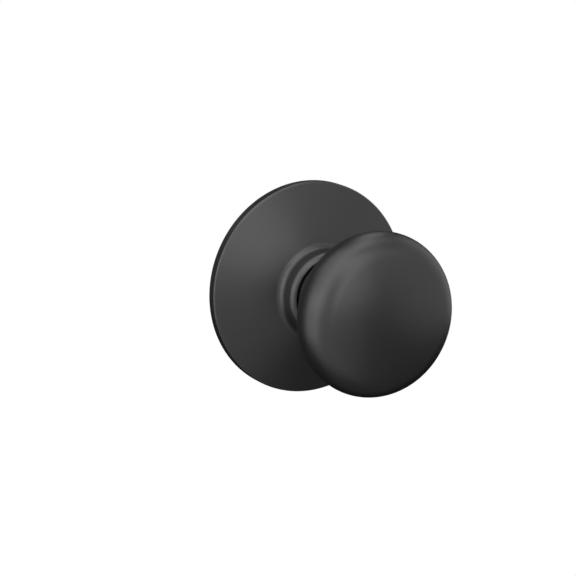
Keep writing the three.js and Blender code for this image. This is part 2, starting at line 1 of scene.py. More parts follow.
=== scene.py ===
"""The looks of the door knob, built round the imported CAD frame. Metres, in the frame's own axes.

The door face is the plane y = 0 and the knob points along -Y. Profiles are lists of (radius, out), where
out is the distance out of the door face, so y = -out.
"""

import json
import math

import bmesh
import bpy
from mathutils import Matrix, Vector
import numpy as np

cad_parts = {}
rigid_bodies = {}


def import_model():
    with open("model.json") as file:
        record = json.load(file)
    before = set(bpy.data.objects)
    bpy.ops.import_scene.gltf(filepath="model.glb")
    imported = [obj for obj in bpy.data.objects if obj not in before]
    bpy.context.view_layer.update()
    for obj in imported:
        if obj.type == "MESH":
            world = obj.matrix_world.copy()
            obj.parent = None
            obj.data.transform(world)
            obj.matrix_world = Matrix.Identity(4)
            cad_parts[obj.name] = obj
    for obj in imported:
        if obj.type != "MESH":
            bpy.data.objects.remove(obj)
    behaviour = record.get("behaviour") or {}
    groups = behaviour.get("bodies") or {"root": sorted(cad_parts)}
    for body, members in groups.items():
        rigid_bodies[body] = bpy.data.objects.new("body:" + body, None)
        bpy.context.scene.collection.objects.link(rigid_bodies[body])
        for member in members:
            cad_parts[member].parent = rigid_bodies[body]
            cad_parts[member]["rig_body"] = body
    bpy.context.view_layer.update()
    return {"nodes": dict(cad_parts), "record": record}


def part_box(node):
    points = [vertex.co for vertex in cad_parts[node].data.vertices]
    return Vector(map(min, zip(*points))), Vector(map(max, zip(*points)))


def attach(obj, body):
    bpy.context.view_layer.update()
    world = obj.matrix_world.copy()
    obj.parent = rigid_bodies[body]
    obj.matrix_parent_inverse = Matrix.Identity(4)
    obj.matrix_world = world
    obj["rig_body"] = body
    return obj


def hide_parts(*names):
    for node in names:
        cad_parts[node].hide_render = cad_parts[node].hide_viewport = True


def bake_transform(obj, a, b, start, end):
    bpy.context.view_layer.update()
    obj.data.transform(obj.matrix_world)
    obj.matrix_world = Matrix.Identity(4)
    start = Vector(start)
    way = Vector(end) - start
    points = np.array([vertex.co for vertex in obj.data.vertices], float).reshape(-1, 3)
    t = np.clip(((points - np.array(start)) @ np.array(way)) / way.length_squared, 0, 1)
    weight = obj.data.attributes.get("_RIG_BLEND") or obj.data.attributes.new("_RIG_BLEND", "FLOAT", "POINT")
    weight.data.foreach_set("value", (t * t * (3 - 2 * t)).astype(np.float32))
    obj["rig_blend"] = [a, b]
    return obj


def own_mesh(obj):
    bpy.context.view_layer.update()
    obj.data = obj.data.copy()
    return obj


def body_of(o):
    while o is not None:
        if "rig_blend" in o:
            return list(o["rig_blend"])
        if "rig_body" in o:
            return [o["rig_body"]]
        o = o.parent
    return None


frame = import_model()

MM = 0.001
ROUND = 192
SMALL_ROUND = 96
SMOOTH_ANGLE = math.radians(35)
WELD = 0.0001 * MM
SLIVER = 0.002 * MM

# ---------------------------------------------------------------- sizes read from the frame


def radius_of(node):
    """The largest distance from the knob's axis that a round node on that axis reaches."""
    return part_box(node)[1].x


def out_of(node):
    """How far out of the door face a node starts and ends."""
    low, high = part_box(node)
    return -high.y, -low.y


ROSE_RADIUS = radius_of("rose")
COLLAR_TOP = out_of("rose")[1]
KNOB_RADIUS = radius_of("knob_shell")
NECK_START, KNOB_PROJECTION = out_of("knob_shell")
SHANK_RADIUS = radius_of("knob_shank")
PLATE_RADIUS = radius_of("mounting_plate")
POST_PLACE = (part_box("mounting_post_right")[0].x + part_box("mounting_post_right")[1].x) / 2
CATCH_REAR, CATCH_FRONT = out_of("knob_catch")
CATCH_OUT = (CATCH_REAR + CATCH_FRONT) / 2

# Sizes that a node's box doesn't show.
SHEET = 0.9 * MM
RIM_HEIGHT = 3.3 * MM
CONE = math.radians(20)
COLLAR_RADIUS = 14.4 * MM
LIP_BORE = SHANK_RADIUS + 0.7 * MM
SHOULDER_RADIUS = 10 * MM
DOME = math.radians(20)
FLARE_RADIUS = 16 * MM
PLATE_THICKNESS = 1.6 * MM
SPINDLE_RADIUS = radius_of("spindle_tube") - 1.5 * MM
SPINDLE_BORE = SPINDLE_RADIUS - 1.4 * MM
FIT = 0.3 * MM
FIT_RADIUS = SHANK_RADIUS - 0.4 * MM
FLAT_REACH = SPINDLE_RADIUS - 0.9 * MM
KEY_HALF = 1.2 * MM
KEY_REAR = 29 * MM
KEY_LENGTH = 8 * MM
CATCH_HALF = 1.6 * MM
RELEASE_HOLE = 1.7 * MM
BAR_HEAD_REACH = 2.2 * MM
BAR_RADIUS = radius_of("drive_bar") - BAR_HEAD_REACH
BAR_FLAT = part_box("drive_bar")[1].z
END_THICKNESS = 2 * MM
COIL_RADIUS = 11.7 * MM
COIL_WIRE = 0.45 * MM
COIL_TURNS = 2.25
COIL_START = 90
TANG_HOLE = 0.7 * MM
TURN_DEGREES = 70
LUG_HALF_DEGREES = 7
CAGE_WALL = 1.4 * MM
CAGE_INNER = radius_of("thrust_washer") + CAGE_WALL
BUSH_SEAT = SPINDLE_RADIUS + 1.4 * MM
BEVEL = 0.15 * MM
FINE_BEVEL = 0.1 * MM
SCREWS = ("cage_screw_right", "cage_screw_top", "cage_screw_left")
SCREW_ANGLES = (30, 90, 150)
SCREW_CIRCLE = 20 * MM
SCREW_HOLE = 1.7 * MM
SLOTS = {row["node"]: row["material_slot"] for row in frame["record"]["subparts"]}

# ---------------------------------------------------------------- mesh builders


def arc(centre, radius, start, end, steps):
    """Points on an arc about (radius, out). Angles in degrees, turning from outwards to forwards."""
    points = []
    for i in range(steps + 1):
        angle = math.radians(start + (end - start) * i / steps)
        points.append((centre[0] + radius * math.cos(angle), centre[1] + radius * math.sin(angle)))
    return points


def polar(radius, degrees):
    return radius * math.cos(math.radians(degrees)), radius * math.sin(math.radians(degrees))


def rounded(profile, radius=BEVEL, steps=4):
    """A profile with its corners rounded, save those on the axis. A third number is a corner's own radius.

    A corner takes up less than half of the line to its neighbour.
    """
    share = 1 / 2.2
    points = []
    for i, (r, h, *own) in enumerate(profile):
        if r == 0 or own == [0]:
            points.append((r, h))
            continue
        here = Vector((r, h))
        before = Vector(profile[i - 1][:2]) - here
        after = Vector(profile[(i + 1) % len(profile)][:2]) - here
        reach = min(own[0] if own else radius, before.length * share, after.length * share)
        start = here + before.normalized() * reach
        end = here + after.normalized() * reach
        for k in range(steps + 1):
            t = k / steps
            point = start * (1 - t) ** 2 + here * 2 * t * (1 - t) + end * t ** 2
            points.append((point.x, point.y))
    return points


def bends(profile):
    """How tightly a profile turns at each of its points, in radians for each millimetre along it."""
    values = []
    for i, point in enumerate(profile):
        before = Vector(point) - Vector(profile[i - 1])
        after = Vector(profile[(i + 1) % len(profile)]) - Vector(point)
        length = (before.length + after.length) / 2
        values.append(before.angle(after, 0.0) / (length / MM) if point[0] > 0 else 0.0)
    return values


def new_object(name, bm):
    """A mesh object from a bmesh, with outward faces, smooth except at sharp edges."""
    bmesh.ops.remove_doubles(bm, verts=bm.verts, dist=WELD)
    bmesh.ops.recalc_face_normals(bm, faces=bm.faces)
    mesh = bpy.data.meshes.new(name)
    bm.to_mesh(mesh)
    bm.free()
    mesh.shade_smooth()
    mesh.set_sharp_from_angle(angle=SMOOTH_ANGLE)
    piece = bpy.data.objects.new(name, mesh)
    bpy.context.scene.collection.objects.link(piece)
    return piece


def lathe(name, profile, segments=ROUND, centre=(0, 0)):
    """A profile turned about an axis along Y through centre (x, z). It closes on itself or on the axis.

    Each point keeps how tightly the profile bends there, for the powder coat.
    """
    bm = bmesh.new()
    bend_layer = bm.verts.layers.float.new("bend")
    rings = []
    for (radius, out), bend in zip(profile, bends(profile)):
        if radius == 0:
            rings.append([bm.verts.new((centre[0], -out, centre[1]))])
            continue
        ring = []
        for i in range(segments):
            angle = 2 * math.pi * i / segments
            x = centre[0] + radius * math.cos(angle)
            z = centre[1] + radius * math.sin(angle)
            ring.append(bm.verts.new((x, -out, z)))
            ring[-1][bend_layer] = bend
        rings.append(ring)
    on_axis = len(rings[0]) == 1
    pairs = zip(rings, rings[1:]) if on_axis else zip(rings, rings[1:] + rings[:1])
    for low, high in pairs:
        for i in range(segments):
            j = (i + 1) % segments
            corners = [low[i % len(low)], low[j % len(low)], high[j % len(high)], high[i % len(high)]]
            corners = list(dict.fromkeys(corners))
            if len(corners) > 2:
                bm.faces.new(corners)
    return new_object(name, bm)


def prism(name, outline, rear, front):
    """A flat outline of (x, z) points, thickened between two heights out of the door."""
    bm = bmesh.new()
    back = [bm.verts.new((x, -rear, z)) for x, z in outline]
    face = [bm.verts.new((x, -front, z)) for x, z in outline]
    bm.faces.new(back)
    bm.faces.new(list(reversed(face)))
    count = len(outline)
    for i in range(count):
        j = (i + 1) % count
        bm.faces.new((back[i], face[i], face[j], back[j]))
    return new_object(name, bm)


def combine(piece, operation, *tools):
    """Joins the tools to the piece, or cuts them out of it, and removes the tools and any slivers."""
    for tool in tools:
        change = piece.modifiers.new("combine", "BOOLEAN")
        change.operation = operation
        change.solver = "EXACT"
        change.object = tool
    graph = bpy.context.evaluated_depsgraph_get()
    shaped = bpy.data.meshes.new_from_object(piece.evaluated_get(graph))
    piece.modifiers.clear()
    piece.data = shaped
    bm = bmesh.new()
    bm.from_mesh(shaped)
    bmesh.ops.remove_doubles(bm, verts=bm.verts, dist=SLIVER)
    bmesh.ops.dissolve_degenerate(bm, edges=bm.edges, dist=SLIVER)
    bm.to_mesh(shaped)
    bm.free()
    shaped.shade_smooth()
    shaped.set_sharp_from_angle(angle=SMOOTH_ANGLE)
    for tool in tools:
        bpy.data.objects.remove(tool)
    return piece


def soften(piece, width=BEVEL, segments=3):
    """Rounds the piece's sharp edges."""
    bevel = piece.modifiers.new("bevel", "BEVEL")
    bevel.width = width
    bevel.segments = segments
    bevel.limit_method = "ANGLE"
    bevel.angle_limit = math.radians(40)
    return piece


def disc_outline(radius, x=0.0, z=0.0, steps=48):
    """A disc centred at (x, z). Its corners stay clear of the spokes of a lathed mesh along x and z."""
    turns = [2 * math.pi * (i + 0.5) / steps for i in range(steps)]
    return [(x + radius * math.cos(t), z + radius * math.sin(t)) for t in turns]


def box_outline(x_low, x_high, z_low, z_high):
    return [(x_low, z_low), (x_high, z_low), (x_high, z_high), (x_low, z_high)]


def segment_outline(radius, chord, steps=48):
    """The part of a disc below a level chord at height z = chord."""
    start = math.pi - math.asin(chord / radius)
    end = 2 * math.pi + math.asin(chord / radius)
    turns = [start + (end - start) * i / steps for i in range(steps + 1)]
    return [(radius * math.cos(t), radius * math.sin(t)) for t in turns]


def slot_outline(z, half_length, radius, steps=16):
    """A level slot with round ends, centred at (0, z)."""
    points = []
    for side in (1, -1):
        for i in range(steps + 1):
            across, up = polar(radius, 180 * i / steps - 90)
            points.append((side * (half_length + across), z + side * up))
    return points


def sector_outline(inner, outer, start, end, steps=72):
    """The part of a ring between two angles in degrees about +X."""
    angles = [start + (end - start) * i / steps for i in range(steps + 1)]
    far = [polar(outer, angle) for angle in angles]
    near = [polar(inner, angle) for angle in reversed(angles)]
    return far + near


def wire(name, path, radius, sides=12):
    """A round wire along a path of points, with closed ends."""
    bm = bmesh.new()
    across = Vector((1, 0, 0)) if abs((path[1] - path[0]).normalized().x) < 0.9 else Vector((0, 0, 1))
    rings = []
    for i, point in enumerate(path):
        along = (path[min(i + 1, len(path) - 1)] - path[max(i - 1, 0)]).normalized()
        across = (across - along * across.dot(along)).normalized()
        other = along.cross(across)
        turns = [2 * math.pi * k / sides for k in range(sides)]
        ring = [bm.verts.new(point + (across * math.cos(t) + other * math.sin(t)) * radius) for t in turns]
        rings.append(ring)
    for low, high in zip(rings, rings[1:]):
        for k in range(sides):
            m = (k + 1) % sides
            bm.faces.new((low[k], low[m], high[m], high[k]))
    bm.faces.new(rings[0][::-1])
    bm.faces.new(rings[-1])
    return new_object(name, bm)


def stand_for(piece, node):
    """The piece takes the place of a CAD node: it moves with the node's body and has the node's finish."""
    slot = SLOTS[node]
    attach(piece, body_of(frame["nodes"][node])[0])
    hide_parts(node)
    paint(piece, slot)


# ---------------------------------------------------------------- materials


class Nodes:
    """A short way to build a material's node tree."""

    def __init__(self, name):
        self.material = bpy.data.materials.new(name)
        self.material.use_nodes = True
        self.tree = self.material.node_tree
        self.shader = self.tree.nodes["Principled BSDF"]

    def add(self, kind, settings=None, **inputs):
        node = self.tree.nodes.new(kind)
        for key, value in (settings or {}).items():
            setattr(node, key, value)
        for key, value in inputs.items():
            self.feed(node, key.replace("_", " "), value)
        return node

    def feed(self, node, socket, value):
        if isinstance(value, bpy.types.NodeSocket):
            self.tree.links.new(value, node.inputs[socket])
        else:
            node.inputs[socket].default_value = value

    def place(self, scale=(1, 1, 1)):
        """Object coordinates, stretched by a scale on each axis."""
        coordinates = self.add("ShaderNodeTexCoord")
        mapping = self.add("ShaderNodeMapping", Vector=coordinates.outputs["Object"], Scale=scale)
        return mapping.outputs["Vector"]

    def noise(self, size, detail=2.0, roughness=0.5, stretch=(1, 1, 1)):
        """Noise whose features are about size across."""
        where = self.place(stretch)
        node = self.add(
            "ShaderNodeTexNoise", Vector=where, Scale=1 / size, Detail=detail, Roughness=roughness
        )
        return node.outputs["Fac"]

    def spread(self, value, low, high, from_low=0.3, from_high=0.7):
        """A value between from_low and from_high moved to the range low to high."""
        node = self.add(
            "ShaderNodeMapRange", Value=value, From_Min=from_low, From_Max=from_high, To_Min=low, To_Max=high
        )
        return node.outputs["Result"]

    def mix(self, share, first, second):
        """One colour turning into another. The mix node's colour sockets are known by their places."""
        colour_a, colour_b, colour_result = 6, 7, 2
        node = self.add("ShaderNodeMix", {"data_type": "RGBA"})
        self.feed(node, "Factor", share)
        self.feed(node, colour_a, first)
        self.feed(node, colour_b, second)
        return node.outputs[colour_result]

    def choose(self, share, first, second):
        """One shader turning into another."""
        node = self.add("ShaderNodeMixShader")
        for socket, value in enumerate((share, first, second)):
            self.feed(node, socket, value)
        return node.outputs[0]

    def bump(self, height, distance, strength=1.0, normal=None):
        node = self.add("ShaderNodeBump", Height=height, Distance=distance, Strength=strength)
        if normal is not None:
            self.tree.links.new(normal, node.inputs["Normal"])
        return node.outputs["Normal"]

    def edges(self, width):
        """1 at the piece's sharp edges and 0 away from them."""
        bevel = self.add("ShaderNodeBevel", {"samples": 6}, Radius=width)
        geometry = self.add("ShaderNodeNewGeometry")
        dot = self.add("ShaderNodeVectorMath", {"operation": "DOT_PRODUCT"})
        self.tree.links.new(bevel.outputs["Normal"], dot.inputs[0])
        self.tree.links.new(geometry.outputs["Normal"], dot.inputs[1])
        return self.spread(dot.outputs["Value"], 1.0, 0.0, 0.8, 0.98)

    def finish(self, **inputs):
        for key, value in inputs.items():
            self.feed(self.shader, key.replace("_", " "), value)
        return self.material


def grey(value):
    return (value, value, value, 1.0)


def powder_coat():
    """Matte black powder coat: a fine orange peel, slightly uneven gloss and more sheen on tight bends."""
    n = Nodes("matte_black")
    peel = n.noise(0.55 * MM, detail=1.0)
    grain = n.noise(0.12 * MM, detail=2.0)
    clouds = n.noise(14 * MM, detail=3.0)
    base = n.mix(n.spread(clouds, 0.0, 1.0), grey(0.0055), grey(0.0065))
    normal = n.bump(grain, 0.002 * MM, 0.3, n.bump(peel, 0.004 * MM, 0.3))
    gloss = n.spread(clouds, 0.39, 0.41)
    bend = n.add("ShaderNodeAttribute", {"attribute_name": "bend"}).outputs["Fac"]
    sheen = n.spread(bend, 0.5, 0.6, 0.2, 0.45)
    return n.finish(Base_Color=base, Roughness=gloss, Specular_IOR_Level=sheen, Normal=normal)


def brushed_zinc():
    """Zinc plated steel: fine drawn grain, cloudy plating and brighter rubbed edges."""
    n = Nodes("zinc_plate")
    grain = n.noise(0.25 * MM, detail=4.0, roughness=0.7, stretch=(1, 0.08, 1))
    clouds = n.noise(9 * MM, detail=4.0, roughness=0.6)
    tint = n.mix(n.spread(clouds, 0.0, 1.0), (0.29, 0.295, 0.285, 1), (0.41, 0.41, 0.385, 1))
    worn = n.mix(n.edges(0.3 * MM), tint, (0.58, 0.58, 0.56, 1))
    gloss = n.spread(grain, 0.26, 0.42)
    return n.finish(Base_Color=worn, Metallic=1.0, Roughness=gloss, Normal=n.bump(grain, 0.01 * MM, 0.4))


def cast_zinc():
    """Zinc as it leaves the die: dull, finely pitted and a little blotched."""
    n = Nodes("diecast_zinc")
    pits = n.noise(0.35 * MM, detail=3.0, roughness=0.6)
    clouds = n.noise(5 * MM, detail=3.0)
    base = n.mix(n.spread(clouds, 0.0, 1.0), (0.33, 0.335, 0.345, 1), (0.45, 0.455, 0.46, 1))
    gloss = n.spread(pits, 0.48, 0.66)
    return n.finish(Base_Color=base, Metallic=0.9, Roughness=gloss, Normal=n.bump(pits, 0.03 * MM, 0.6))


def oiled_steel():
    """Spring steel: dark, smooth and streaked with oil."""
    n = Nodes("spring_steel")
    streaks = n.noise(1.2 * MM, detail=3.0, stretch=(1, 0.3, 1))
    base = n.mix(n.spread(streaks, 0.0, 1.0), (0.19, 0.19, 0.2, 1), (0.32, 0.31, 0.3, 1))
    worn = n.mix(n.edges(0.15 * MM), base, (0.5, 0.5, 0.5, 1))
    gloss = n.spread(streaks, 0.24, 0.4)
    return n.finish(Base_Color=worn, Metallic=1.0, Roughness=gloss, Normal=n.bump(streaks, 0.01 * MM, 0.3))


def moulded(name, dark, light, low, high):
    """A moulded plastic: a fine spark-eroded texture and slow changes of colour and gloss."""
    n = Nodes(name)
    texture = n.noise(0.2 * MM, detail=2.0)
    clouds = n.noise(6 * MM, detail=2.0)
    base = n.mix(n.spread(clouds, 0.0, 1.0), dark, light)
    gloss = n.spread(clouds, low, high)
    return n.finish(Base_Color=base, Roughness=gloss, Normal=n.bump(texture, 0.006 * MM, 0.5))


MATERIALS = {
    "matte_black": powder_coat(),
    "zinc_plate": brushed_zinc(),
    "diecast_zinc": cast_zinc(),
    "spring_steel": oiled_steel(),
    "acetal": moulded("acetal", (0.66, 0.64, 0.57, 1), (0.74, 0.72, 0.66, 1), 0.42, 0.55),
    "black_nylon": moulded("black_nylon", grey(0.012), grey(0.02), 0.5, 0.62),
}


def paint(piece, slot):
    piece.data.materials.clear()
    piece.data.materials.append(MATERIALS[slot])


# ---------------------------------------------------------------- the rose


def cone_height(radius):
    return RIM_HEIGHT + (ROSE_RADIUS - radius) * math.tan(CONE)


def rose_profile():
    """Up the rim, over the cone and the collar to its rolled lip, then down the inside to the door face."""
    edge = 0.8 * MM
    fillet = 2.8 * MM
    lip = 2.4 * MM
    bead = 0.15 * MM
    cone = math.degrees(CONE)
    edge_centre = (ROSE_RADIUS - edge, cone_height(ROSE_RADIUS - edge) - edge / math.cos(CONE))
    fillet_centre = (COLLAR_RADIUS + fillet, cone_height(COLLAR_RADIUS + fillet) + fillet / math.cos(CONE))
    lip_radius = COLLAR_RADIUS - lip
    lip_end = math.acos((LIP_BORE + bead - lip_radius) / lip)
    lip_centre = (lip_radius, COLLAR_TOP - lip * math.sin(lip_end))
    outside = [(ROSE_RADIUS, 0)]
    outside += arc(edge_centre, edge, 0, 90 - cone, 10)
    outside += arc(fillet_centre, fillet, 270 - cone, 180, 24)
    outside += arc(lip_centre, lip, 0, math.degrees(lip_end), 24)
    outside += arc((LIP_BORE + bead, COLLAR_TOP - bead), bead, 90, 180, 6)[1:]
    wall = SHEET / math.cos(CONE)
    throat = COLLAR_TOP - 1.9 * MM
    collar_inside = COLLAR_RADIUS - SHEET
    bend = 2.2 * MM
    bend_height = cone_height(collar_inside + bend) - wall
    rim_inside = ROSE_RADIUS - SHEET
    inside = [
        (LIP_BORE, throat),
        (collar_inside, throat),
        (collar_inside, bend_height + bend),
        (collar_inside + bend, bend_height),
        (rim_inside, cone_height(rim_inside) - wall),
        (rim_inside, 0),
    ]
    return outside + inside


def band(node, inner):
    """The closed profile of a plain ring that fills its node's box, from the inner radius."""
    rear, front = out_of(node)
    outer = radius_of(node)
    return [(inner, rear), (outer, rear), (outer, front), (inner, front)]


def build_rose():
    """The cover, the ring that grips the mounting plate, and the bush in the collar."""
    slip = 0.25 * MM
    stand_for(lathe("rose_cover", rose_profile()), "rose")
    stand_for(lathe("rose_grip_ring", rounded(band("rose_liner", PLATE_RADIUS + FIT))), "rose_liner")
    stand_for(lathe("collar_ring", rounded(band("collar_bush", SHANK_RADIUS + slip))), "collar_bush")


# ---------------------------------------------------------------- the knob


def knob_profile(depth, flare_steps, shoulder_steps, dome_steps):
    """The knob's profile at a depth below its surface, from its open neck to the middle of its face."""
    dome = math.degrees(DOME)
    shoulder_centre = KNOB_RADIUS - SHOULDER_RADIUS
    dome_radius = shoulder_centre / math.sin(DOME) + SHOULDER_RADIUS
    middle = KNOB_PROJECTION - dome_radius + (dome_radius - SHOULDER_RADIUS) * math.cos(DOME)
    neck = SHANK_RADIUS + SHEET
    reach = FLARE_RADIUS + SHOULDER_RADIUS
    across = neck + FLARE_RADIUS - shoulder_centre
    flare_height = middle - math.sqrt(reach ** 2 - across ** 2)
    turn = math.degrees(math.asin((middle - flare_height) / reach))
    lip = min(0.35 * MM, SHEET / 2)
    side = 1 if depth == 0 else -1
    start = (neck - depth - side * lip, NECK_START + lip)
    points = arc(start, lip, 270, 360 if side > 0 else 180, 6)
    points += arc((neck + FLARE_RADIUS, flare_height), FLARE_RADIUS + depth, 180, 180 - turn, flare_steps)
    points += arc((shoulder_centre, middle), SHOULDER_RADIUS - depth, -turn, 90 - dome, shoulder_steps)[1:]
    points += arc((0, KNOB_PROJECTION - dome_radius), dome_radius - depth, 90 - dome, 90, dome_steps)[1:-1]
    return points + [(0, KNOB_PROJECTION - depth)]


def build_knob():
    """The hollow shell, with the release hole on its underside that lets a pin reach the catch."""
    outside = knob_profile(0, 40, 80, 36)
    inside = knob_profile(SHEET, 20, 40, 16)
    shell = lathe("knob_body", outside[::-1] + inside)
    hole = prism("release_hole", disc_outline(RELEASE_HOLE), -2 * SHEET, 2 * SHEET)
    hole.data.transform(Matrix.Rotation(math.pi / 2, 4, "X"))
    hole.data.transform(Matrix.Translation((0, -CATCH_OUT, -SHANK_RADIUS - SHEET)))
    stand_for(combine(shell, "DIFFERENCE", hole), "knob_shell")


def build_liner():
    """The dished disc that braces the shell on the sleeve, and the open ring that holds it there."""
    rear, front = out_of("knob_liner")
    wall = 1.3 * MM
    hub = FIT_RADIUS + FIT
    hub_front = rear + 5.4 * MM
    rim = radius_of("knob_liner")
    rim_rear = front - 1.9 * MM
    profile = [
        (hub, rear),
        (hub + wall, rear),
        (hub + wall, hub_front - wall),
        (rim - 2 * wall, front - wall),
        (rim - wall, rim_rear - wall),
        (rim, rim_rear),
        (rim, front),
        (rim - 1.5 * wall, front),
        (hub + 2 * wall, hub_front),
        (hub, hub_front),
    ]
    stand_for(lathe("knob_brace", rounded(profile, 0.3 * MM)), "knob_liner")
    ring_inner, ring_outer, half_gap = FIT_RADIUS - 0.5 * MM, FIT_RADIUS + 1.6 * MM, 25
    ring = sector_outline(ring_inner, ring_outer, 90 + half_gap, 450 - half_gap)
    stand_for(soften(prism("brace_ring", ring, *out_of("liner_ring")), FINE_BEVEL), "liner_ring")


def build_catch():
    """The plunger: a wide foot inside the spindle and a round-cornered tongue through the sleeve."""
    low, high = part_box("knob_catch")
    foot_thickness = 1.2 * MM
    foot_bottom = high.z - foot_thickness
    corner = 0.8 * MM
    tongue = arc((-CATCH_HALF + corner, low.z + corner), corner, 180, 270, 8)
    tongue += arc((CATCH_HALF - corner, low.z + corner), corner, 270, 360, 8)
    outline = [(high.x, foot_bottom), (high.x, high.z), (low.x, high.z), (low.x, foot_bottom)]
    outline += [(-CATCH_HALF, foot_bottom)] + tongue + [(CATCH_HALF, foot_bottom)]
    stand_for(soften(prism("catch_plunger", outline, CATCH_REAR, CATCH_FRONT), FINE_BEVEL), "knob_catch")


# ---------------------------------------------------------------- the sleeve, spindle and drive bar


def build_sleeve():
    """The sleeve in the knob's neck, with a slot for the catch and a key that turns the spindle."""
    bore = SPINDLE_RADIUS + FIT
    groove = FIT_RADIUS - 0.8 * MM
    chamfer = 0.5 * MM
    rear, front = out_of("knob_shank")
    step = NECK_START - 0.2 * MM
    groove_front = front - 0.6 * MM
    groove_rear = groove_front - 1.0 * MM
    profile = [
        (bore, rear),
        (SHANK_RADIUS, rear, chamfer),
        (SHANK_RADIUS, step),
        (FIT_RADIUS, step),
        (FIT_RADIUS, groove_rear),
        (groove, groove_rear),
        (groove, groove_front),
        (FIT_RADIUS, groove_front),
        (FIT_RADIUS, front),
        (bore, front),
    ]
    sleeve = lathe("knob_sleeve", rounded(profile))
    key_tip, key_root = SPINDLE_BORE + 0.4 * MM, bore + 1.2 * MM
    key = prism("key", box_outline(-KEY_HALF, KEY_HALF, key_tip, key_root), KEY_REAR, KEY_REAR + KEY_LENGTH)
    slot_half = CATCH_HALF + FIT
    slot_shape = box_outline(-slot_half, slot_half, -SHANK_RADIUS - 2 * MM, -SPINDLE_BORE)
    slot = prism("slot", slot_shape, CATCH_REAR - FIT, CATCH_FRONT + FIT)
    combine(sleeve, "UNION", key)
    stand_for(combine(sleeve, "DIFFERENCE", slot), "knob_shank")


def build_spindle():
    """The tube that the sleeve slides on: closed at the door, with flats, a flange and a ring groove."""
    flange = SPINDLE_RADIUS + 1.5 * MM
    groove = SPINDLE_RADIUS - 0.5 * MM
    ring_rear, ring_front = out_of("retaining_ring")
    seat = 0.1 * MM
    flange_rear = out_of("spring_driver")[1] + seat
    flange_front = flange_rear + 1 * MM
    chamfer = 0.6 * MM
    front = out_of("spindle_tube")[1]
    profile = [
        (0, 0),
        (SPINDLE_RADIUS, 0),
        (SPINDLE_RADIUS, flange_rear, 0),
        (flange, flange_rear),
        (flange, flange_front),
        (SPINDLE_RADIUS, flange_front),
        (SPINDLE_RADIUS, ring_rear - seat),
        (groove, ring_rear - seat),
        (groove, ring_front + seat),
        (SPINDLE_RADIUS, ring_front + seat),
        (SPINDLE_RADIUS, front, chamfer),
        (SPINDLE_BORE, front),
        (SPINDLE_BORE, END_THICKNESS),
        (0, END_THICKNESS),
    ]
    wide = 2 * SPINDLE_RADIUS
    past = 1 * MM
    bar_slip = 0.25 * MM
    catch_slip = 0.2 * MM
    window_half = CATCH_HALF + catch_slip
    window = box_outline(-window_half, window_half, -wide, -SPINDLE_BORE / 2)
    key_half = KEY_HALF + FIT
    key_way = box_outline(-key_half, key_half, SPINDLE_BORE / 2, wide)
    tools = [
        prism("bar_slot", segment_outline(BAR_RADIUS + bar_slip, BAR_FLAT + FIT), -past, 2 * END_THICKNESS),
        prism("right_flat", box_outline(FLAT_REACH, wide, -wide, wide), -past, flange_rear),
        prism("left_flat", box_outline(-wide, -FLAT_REACH, -wide, wide), -past, flange_rear),
        prism("catch_window", window, CATCH_REAR - catch_slip, CATCH_FRONT + catch_slip),
        prism("key_way", key_way, KEY_REAR - FIT, front + past),
    ]
    stand_for(combine(lathe("spindle", rounded(profile)), "DIFFERENCE", *tools), "spindle_tube")


def build_drive_bar():
    """The half-round bar that turns the latch, with a wider head that the spindle holds."""
    rear, front = out_of("drive_bar")
    head_rear = END_THICKNESS + FIT
    bar = prism("latch_bar", segment_outline(BAR_RADIUS, BAR_FLAT), rear, (head_rear + front) / 2)
    head = prism("bar_head", segment_outline(BAR_RADIUS + BAR_HEAD_REACH, BAR_FLAT), head_rear, front)
    stand_for(soften(combine(bar, "UNION", head)), "drive_bar")
    rear, front = out_of("bar_retainer")
    radius, chamfer = radius_of("bar_retainer"), 0.4 * MM
    plug = [(0, rear), (radius, rear), (radius, front, chamfer), (0, front)]
    stand_for(lathe("bar_plug", rounded(plug)), "bar_retainer")


# ---------------------------------------------------------------- the driver, cage, rings and springs


def build_driver():
    """The keyed disc that winds the return spring, with the stop lug at its bottom."""
    rear, front = out_of("spring_driver")
    disc = CAGE_INNER - 0.4 * MM
    lug_root = disc - 1 * MM
    lug_reach = -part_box("spring_driver")[0].z
    lug_start, lug_end = 270 - LUG_HALF_DEGREES, 270 + LUG_HALF_DEGREES
    slip = 0.15 * MM
    wide = 2 * SPINDLE_RADIUS
    bore = prism("bore", disc_outline(SPINDLE_RADIUS + slip, steps=SMALL_ROUND), rear - FIT, front + FIT)
    for side in (-1, 1):
        edges = sorted((side * (FLAT_REACH + slip), side * wide))
        flat = prism("flat", box_outline(*edges, -wide, wide), rear - 2 * FIT, front + 2 * FIT)
        combine(bore, "DIFFERENCE", flat)
    tang_hole = disc_outline(TANG_HOLE, *polar(COIL_RADIUS, COIL_START), 24)
    tang = prism("tang_hole", tang_hole, rear - FIT, front + FIT)
    lug_shape = sector_outline(lug_root, lug_reach, lug_start, lug_end, 12)
    driver = prism("drive_plate", disc_outline(disc, steps=ROUND), rear, front)
    combine(driver, "UNION", prism("lug", lug_shape, rear, front))
    stand_for(soften(combine(driver, "DIFFERENCE", bore, tang), FINE_BEVEL), "spring_driver")


def ear_outline(degrees, steps=24):
    """A screw ear that reaches from inside the cage's wall round the screw at an angle."""
    reach = 3.4 * MM
    middle = polar(SCREW_CIRCLE, degrees)
    root = polar(CAGE_INNER + 0.5 * MM, degrees)
    side = polar(reach, degrees + 90)
    points = [(root[0] - side[0], root[1] - side[1])]
    for i in range(steps + 1):
        x, z = polar(reach, degrees - 90 + 180 * i / steps)
        points.append((middle[0] + x, middle[1] + z))
    return points + [(root[0] + side[0], root[1] + side[1])]


